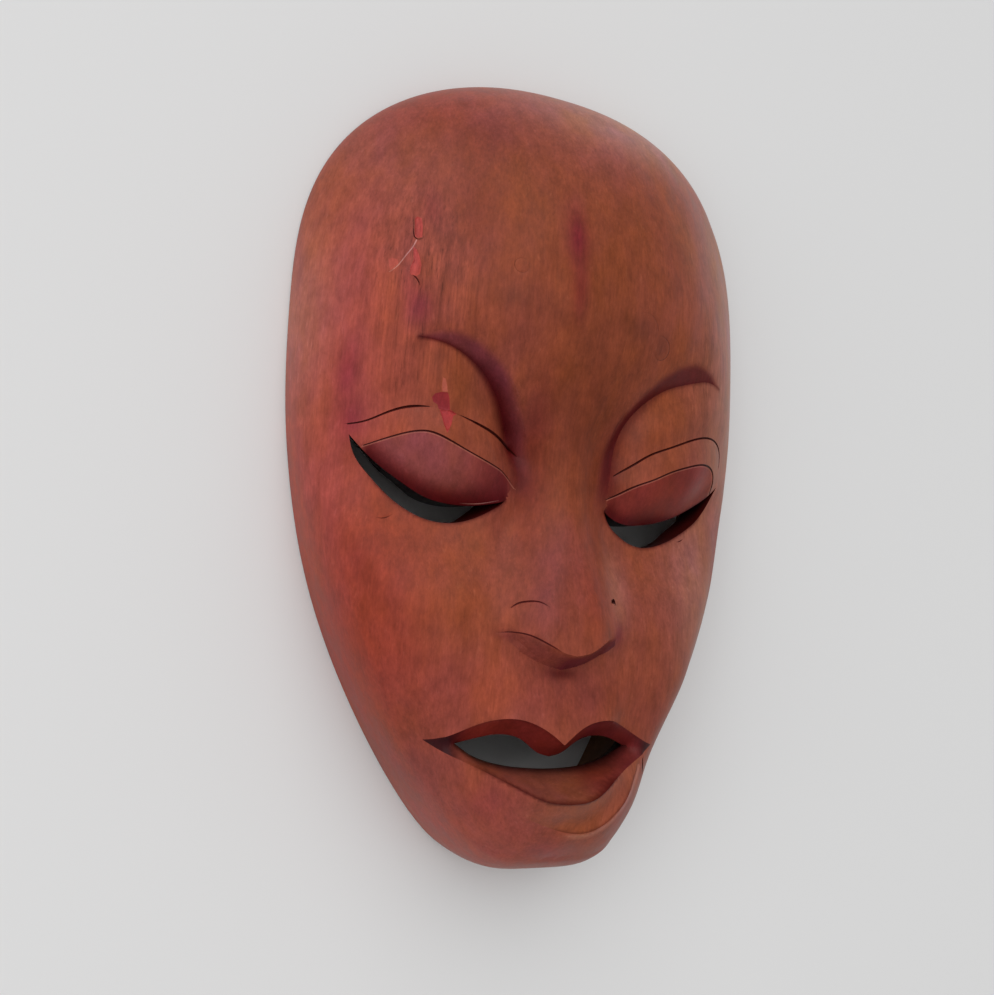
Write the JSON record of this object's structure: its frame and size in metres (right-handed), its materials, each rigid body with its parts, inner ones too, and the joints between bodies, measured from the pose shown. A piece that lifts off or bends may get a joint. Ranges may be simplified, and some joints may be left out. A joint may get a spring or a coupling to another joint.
{
  "type": "carved wooden face mask",
  "caption": "Hollow carved wooden face mask with half-closed eye slits, an open mouth and a flat back rim, lying face up.",
  "frame": {"origin": "on the back rim's plane, under the middle of the mask's length and width", "axes": "+Y towards the crown, +X to the right of someone looking at the face, +Z out of the face"},
  "size_m": [0.1509, 0.24, 0.0561],
  "materials": {
    "stained_wood": "satin, stained red-brown, with dark purple stain in the brows, lids, nostrils and lips"
  },
  "bodies": {
    "root": {"carved_mask": "stained_wood"}
  },
  "joints": []
}
